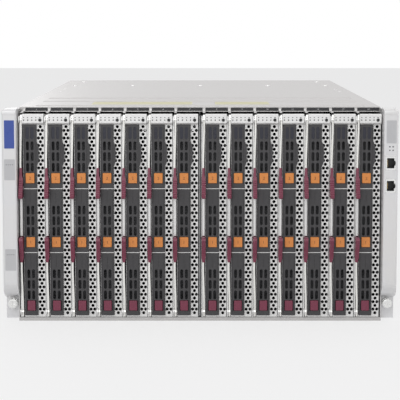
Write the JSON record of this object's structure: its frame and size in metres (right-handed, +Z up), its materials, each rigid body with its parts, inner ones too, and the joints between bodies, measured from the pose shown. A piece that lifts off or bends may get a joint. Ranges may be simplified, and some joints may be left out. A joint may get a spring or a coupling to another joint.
{
  "type": "blade server chassis",
  "caption": "Rack enclosure of upright blade servers with hinged levers, sliding drive carriers, top covers, rack ears and rear power and network modules.",
  "frame": {"origin": "on the underside, under the middle of the whole object's width and depth", "axes": "+X to the right as seen from the front, +Y towards the back, +Z up; the blades' fronts face -Y"},
  "size_m": [0.4826, 0.884, 0.265],
  "materials": {
    "enclosure_steel": "galvanised sheet steel, satin",
    "cover_steel": "galvanised sheet steel, satin",
    "dark_steel": "black powder coat",
    "circuit_board": "green solder mask",
    "ear_silver": "fine silver-white paint",
    "bright_steel": "nickel plated, turned",
    "module_steel": "galvanised sheet steel, satin",
    "blade_steel": "bright zinc plated sheet",
    "lever_steel": "bright plated strip",
    "carrier_plastic": "fine grained dark grey plastic",
    "orange_plastic": "orange plastic",
    "maroon_plastic": "ribbed maroon plastic",
    "black_plastic": "black plastic",
    "label_strip": "dark printed strip with plain slot numbers",
    "badge_blue": "bare blue badge",
    "panel_grey": "light grey label left bare",
    "status_light": "unlit status light"
  },
  "bodies": {
    "chassis": {"enclosure": "enclosure_steel", "centre_post": "dark_steel", "front_cover": "cover_steel", "rear_cover": "cover_steel", "midplane": "circuit_board", "left_ear": "ear_silver", "right_ear": "ear_silver", "power_supplies": "module_steel", "network_modules": "module_steel"},
    "left_thumbscrew": {"left_thumbscrew": "bright_steel"},
    "right_thumbscrew": {"right_thumbscrew": "bright_steel"},
    "blade_01": {"blade_01": "blade_steel"},
    "blade_01_upper_lever": {"blade_01_upper_lever": "lever_steel"},
    "blade_01_lower_lever": {"blade_01_lower_lever": "lever_steel"},
    "blade_01_lower_carrier": {"blade_01_lower_carrier": "carrier_plastic"},
    "blade_01_middle_carrier": {"blade_01_middle_carrier": "carrier_plastic"},
    "blade_01_upper_carrier": {"blade_01_upper_carrier": "carrier_plastic"},
    "blade_01_lower_release_button": {"blade_01_lower_release_button": "maroon_plastic"},
    "blade_01_middle_release_button": {"blade_01_middle_release_button": "orange_plastic"},
    "blade_01_upper_release_button": {"blade_01_upper_release_button": "orange_plastic"},
    "blade_01_power_button": {"blade_01_power_button": "black_plastic"},
    "blade_02": {"blade_02": "blade_steel"},
    "blade_02_upper_lever": {"blade_02_upper_lever": "lever_steel"},
    "blade_02_lower_lever": {"blade_02_lower_lever": "lever_steel"},
    "blade_03": {"blade_03": "blade_steel"},
    "blade_03_upper_lever": {"blade_03_upper_lever": "lever_steel"},
    "blade_03_lower_lever": {"blade_03_lower_lever": "lever_steel"},
    "blade_04": {"blade_04": "blade_steel"},
    "blade_04_upper_lever": {"blade_04_upper_lever": "lever_steel"},
    "blade_04_lower_lever": {"blade_04_lower_lever": "lever_steel"},
    "blade_05": {"blade_05": "blade_steel"},
    "blade_05_upper_lever": {"blade_05_upper_lever": "lever_steel"},
    "blade_05_lower_lever": {"blade_05_lower_lever": "lever_steel"},
    "blade_06": {"blade_06": "blade_steel"},
    "blade_06_upper_lever": {"blade_06_upper_lever": "lever_steel"},
    "blade_06_lower_lever": {"blade_06_lower_lever": "lever_steel"},
    "blade_07": {"blade_07": "blade_steel"},
    "blade_07_upper_lever": {"blade_07_upper_lever": "lever_steel"},
    "blade_07_lower_lever": {"blade_07_lower_lever": "lever_steel"},
    "blade_08": {"blade_08": "blade_steel"},
    "blade_08_upper_lever": {"blade_08_upper_lever": "lever_steel"},
    "blade_08_lower_lever": {"blade_08_lower_lever": "lever_steel"},
    "blade_09": {"blade_09": "blade_steel"},
    "blade_09_upper_lever": {"blade_09_upper_lever": "lever_steel"},
    "blade_09_lower_lever": {"blade_09_lower_lever": "lever_steel"},
    "blade_10": {"blade_10": "blade_steel"},
    "blade_10_upper_lever": {"blade_10_upper_lever": "lever_steel"},
    "blade_10_lower_lever": {"blade_10_lower_lever": "lever_steel"},
    "blade_11": {"blade_11": "blade_steel"},
    "blade_11_upper_lever": {"blade_11_upper_lever": "lever_steel"},
    "blade_11_lower_lever": {"blade_11_lower_lever": "lever_steel"},
    "blade_12": {"blade_12": "blade_steel"},
    "blade_12_upper_lever": {"blade_12_upper_lever": "lever_steel"},
    "blade_12_lower_lever": {"blade_12_lower_lever": "lever_steel"},
    "blade_13": {"blade_13": "blade_steel"},
    "blade_13_upper_lever": {"blade_13_upper_lever": "lever_steel"},
    "blade_13_lower_lever": {"blade_13_lower_lever": "lever_steel"},
    "blade_14": {"blade_14": "blade_steel"},
    "blade_14_upper_lever": {"blade_14_upper_lever": "lever_steel"},
    "blade_14_lower_lever": {"blade_14_lower_lever": "lever_steel"}
  },
  "joints": [
    {"name": "blade_01_slide", "type": "slide", "parent": "chassis", "child": "blade_01", "axis": [0, -1, 0], "range_m": [0, 0.56]},
    {"name": "blade_01_upper_lever_hinge", "type": "hinge", "parent": "blade_01", "child": "blade_01_upper_lever", "pos_m": [-0.2191, -0.4256, 0.2501], "axis": [-1, 0, 0], "range_deg": [0, 60]},
    {"name": "blade_01_lower_lever_hinge", "type": "hinge", "parent": "blade_01", "child": "blade_01_lower_lever", "pos_m": [-0.2191, -0.4256, 0.0122], "axis": [1, 0, 0], "range_deg": [0, 60]},
    {"name": "blade_01_lower_carrier_slide", "type": "slide", "parent": "blade_01", "child": "blade_01_lower_carrier", "axis": [0, -1, 0], "range_m": [0, 0.115]},
    {"name": "blade_01_middle_carrier_slide", "type": "slide", "parent": "blade_01", "child": "blade_01_middle_carrier", "axis": [0, -1, 0], "range_m": [0, 0.115]},
    {"name": "blade_01_upper_carrier_slide", "type": "slide", "parent": "blade_01", "child": "blade_01_upper_carrier", "axis": [0, -1, 0], "range_m": [0, 0.115]},
    {"name": "blade_01_lower_release_button_press", "type": "slide", "parent": "blade_01_lower_carrier", "child": "blade_01_lower_release_button", "axis": [0, 1, 0], "range_m": [0, 0.002], "stiffness_N_per_m": 400},
    {"name": "blade_01_middle_release_button_press", "type": "slide", "parent": "blade_01_middle_carrier", "child": "blade_01_middle_release_button", "axis": [0, 1, 0], "range_m": [0, 0.002], "stiffness_N_per_m": 400},
    {"name": "blade_01_upper_release_button_press", "type": "slide", "parent": "blade_01_upper_carrier", "child": "blade_01_upper_release_button", "axis": [0, 1, 0], "range_m": [0, 0.002], "stiffness_N_per_m": 400},
    {"name": "blade_01_power_button_press", "type": "slide", "parent": "blade_01", "child": "blade_01_power_button", "axis": [0, 1, 0], "range_m": [0, 0.001], "stiffness_N_per_m": 400},
    {"name": "left_thumbscrew_turn", "type": "hinge", "parent": "chassis", "child": "left_thumbscrew", "pos_m": [-0.23255, -0.41, 0.0214], "axis": [0, 1, 0], "continuous": true},
    {"name": "right_thumbscrew_turn", "type": "hinge", "parent": "chassis", "child": "right_thumbscrew", "pos_m": [0.23255, -0.41, 0.0214], "axis": [0, 1, 0], "continuous": true},
    {"name": "blade_02_slide", "type": "slide", "parent": "chassis", "child": "blade_02", "axis": [0, -1, 0], "range_m": [0, 0.56]},
    {"name": "blade_02_upper_lever_hinge", "type": "hinge", "parent": "blade_02", "child": "blade_02_upper_lever", "pos_m": [-0.1876, -0.4256, 0.2501], "axis": [-1, 0, 0], "range_deg": [0, 60]},
    {"name": "blade_02_lower_lever_hinge", "type": "hinge", "parent": "blade_02", "child": "blade_02_lower_lever", "pos_m": [-0.1876, -0.4256, 0.0122], "axis": [1, 0, 0], "range_deg": [0, 60]},
    {"name": "blade_03_slide", "type": "slide", "parent": "chassis", "child": "blade_03", "axis": [0, -1, 0], "range_m": [0, 0.56]},
    {"name": "blade_03_upper_lever_hinge", "type": "hinge", "parent": "blade_03", "child": "blade_03_upper_lever", "pos_m": [-0.1561, -0.4256, 0.2501], "axis": [-1, 0, 0], "range_deg": [0, 60]},
    {"name": "blade_03_lower_lever_hinge", "type": "hinge", "parent": "blade_03", "child": "blade_03_lower_lever", "pos_m": [-0.1561, -0.4256, 0.0122], "axis": [1, 0, 0], "range_deg": [0, 60]},
    {"name": "blade_04_slide", "type": "slide", "parent": "chassis", "child": "blade_04", "axis": [0, -1, 0], "range_m": [0, 0.56]},
    {"name": "blade_04_upper_lever_hinge", "type": "hinge", "parent": "blade_04", "child": "blade_04_upper_lever", "pos_m": [-0.1246, -0.4256, 0.2501], "axis": [-1, 0, 0], "range_deg": [0, 60]},
    {"name": "blade_04_lower_lever_hinge", "type": "hinge", "parent": "blade_04", "child": "blade_04_lower_lever", "pos_m": [-0.1246, -0.4256, 0.0122], "axis": [1, 0, 0], "range_deg": [0, 60]},
    {"name": "blade_05_slide", "type": "slide", "parent": "chassis", "child": "blade_05", "axis": [0, -1, 0], "range_m": [0, 0.56]},
    {"name": "blade_05_upper_lever_hinge", "type": "hinge", "parent": "blade_05", "child": "blade_05_upper_lever", "pos_m": [-0.0931, -0.4256, 0.2501], "axis": [-1, 0, 0], "range_deg": [0, 60]},
    {"name": "blade_05_lower_lever_hinge", "type": "hinge", "parent": "blade_05", "child": "blade_05_lower_lever", "pos_m": [-0.0931, -0.4256, 0.0122], "axis": [1, 0, 0], "range_deg": [0, 60]},
    {"name": "blade_06_slide", "type": "slide", "parent": "chassis", "child": "blade_06", "axis": [0, -1, 0], "range_m": [0, 0.56]},
    {"name": "blade_06_upper_lever_hinge", "type": "hinge", "parent": "blade_06", "child": "blade_06_upper_lever", "pos_m": [-0.0616, -0.4256, 0.2501], "axis": [-1, 0, 0], "range_deg": [0, 60]},
    {"name": "blade_06_lower_lever_hinge", "type": "hinge", "parent": "blade_06", "child": "blade_06_lower_lever", "pos_m": [-0.0616, -0.4256, 0.0122], "axis": [1, 0, 0], "range_deg": [0, 60]},
    {"name": "blade_07_slide", "type": "slide", "parent": "chassis", "child": "blade_07", "axis": [0, -1, 0], "range_m": [0, 0.56]},
    {"name": "blade_07_upper_lever_hinge", "type": "hinge", "parent": "blade_07", "child": "blade_07_upper_lever", "pos_m": [-0.0301, -0.4256, 0.2501], "axis": [-1, 0, 0], "range_deg": [0, 60]},
    {"name": "blade_07_lower_lever_hinge", "type": "hinge", "parent": "blade_07", "child": "blade_07_lower_lever", "pos_m": [-0.0301, -0.4256, 0.0122], "axis": [1, 0, 0], "range_deg": [0, 60]},
    {"name": "blade_08_slide", "type": "slide", "parent": "chassis", "child": "blade_08", "axis": [0, -1, 0], "range_m": [0, 0.56]},
    {"name": "blade_08_upper_lever_hinge", "type": "hinge", "parent": "blade_08", "child": "blade_08_upper_lever", "pos_m": [0.005, -0.4256, 0.2501], "axis": [-1, 0, 0], "range_deg": [0, 60]},
    {"name": "blade_08_lower_lever_hinge", "type": "hinge", "parent": "blade_08", "child": "blade_08_lower_lever", "pos_m": [0.005, -0.4256, 0.0122], "axis": [1, 0, 0], "range_deg": [0, 60]},
    {"name": "blade_09_slide", "type": "slide", "parent": "chassis", "child": "blade_09", "axis": [0, -1, 0], "range_m": [0, 0.56]},
    {"name": "blade_09_upper_lever_hinge", "type": "hinge", "parent": "blade_09", "child": "blade_09_upper_lever", "pos_m": [0.0365, -0.4256, 0.2501], "axis": [-1, 0, 0], "range_deg": [0, 60]},
    {"name": "blade_09_lower_lever_hinge", "type": "hinge", "parent": "blade_09", "child": "blade_09_lower_lever", "pos_m": [0.0365, -0.4256, 0.0122], "axis": [1, 0, 0], "range_deg": [0, 60]},
    {"name": "blade_10_slide", "type": "slide", "parent": "chassis", "child": "blade_10", "axis": [0, -1, 0], "range_m": [0, 0.56]},
    {"name": "blade_10_upper_lever_hinge", "type": "hinge", "parent": "blade_10", "child": "blade_10_upper_lever", "pos_m": [0.068, -0.4256, 0.2501], "axis": [-1, 0, 0], "range_deg": [0, 60]},
    {"name": "blade_10_lower_lever_hinge", "type": "hinge", "parent": "blade_10", "child": "blade_10_lower_lever", "pos_m": [0.068, -0.4256, 0.0122], "axis": [1, 0, 0], "range_deg": [0, 60]},
    {"name": "blade_11_slide", "type": "slide", "parent": "chassis", "child": "blade_11", "axis": [0, -1, 0], "range_m": [0, 0.56]},
    {"name": "blade_11_upper_lever_hinge", "type": "hinge", "parent": "blade_11", "child": "blade_11_upper_lever", "pos_m": [0.0995, -0.4256, 0.2501], "axis": [-1, 0, 0], "range_deg": [0, 60]},
    {"name": "blade_11_lower_lever_hinge", "type": "hinge", "parent": "blade_11", "child": "blade_11_lower_lever", "pos_m": [0.0995, -0.4256, 0.0122], "axis": [1, 0, 0], "range_deg": [0, 60]},
    {"name": "blade_12_slide", "type": "slide", "parent": "chassis", "child": "blade_12", "axis": [0, -1, 0], "range_m": [0, 0.56]},
    {"name": "blade_12_upper_lever_hinge", "type": "hinge", "parent": "blade_12", "child": "blade_12_upper_lever", "pos_m": [0.131, -0.4256, 0.2501], "axis": [-1, 0, 0], "range_deg": [0, 60]},
    {"name": "blade_12_lower_lever_hinge", "type": "hinge", "parent": "blade_12", "child": "blade_12_lower_lever", "pos_m": [0.131, -0.4256, 0.0122], "axis": [1, 0, 0], "range_deg": [0, 60]},
    {"name": "blade_13_slide", "type": "slide", "parent": "chassis", "child": "blade_13", "axis": [0, -1, 0], "range_m": [0, 0.56]},
    {"name": "blade_13_upper_lever_hinge", "type": "hinge", "parent": "blade_13", "child": "blade_13_upper_lever", "pos_m": [0.1625, -0.4256, 0.2501], "axis": [-1, 0, 0], "range_deg": [0, 60]},
    {"name": "blade_13_lower_lever_hinge", "type": "hinge", "parent": "blade_13", "child": "blade_13_lower_lever", "pos_m": [0.1625, -0.4256, 0.0122], "axis": [1, 0, 0], "range_deg": [0, 60]},
    {"name": "blade_14_slide", "type": "slide", "parent": "chassis", "child": "blade_14", "axis": [0, -1, 0], "range_m": [0, 0.56]},
    {"name": "blade_14_upper_lever_hinge", "type": "hinge", "parent": "blade_14", "child": "blade_14_upper_lever", "pos_m": [0.194, -0.4256, 0.2501], "axis": [-1, 0, 0], "range_deg": [0, 60]},
    {"name": "blade_14_lower_lever_hinge", "type": "hinge", "parent": "blade_14", "child": "blade_14_lower_lever", "pos_m": [0.194, -0.4256, 0.0122], "axis": [1, 0, 0], "range_deg": [0, 60]}
  ]
}
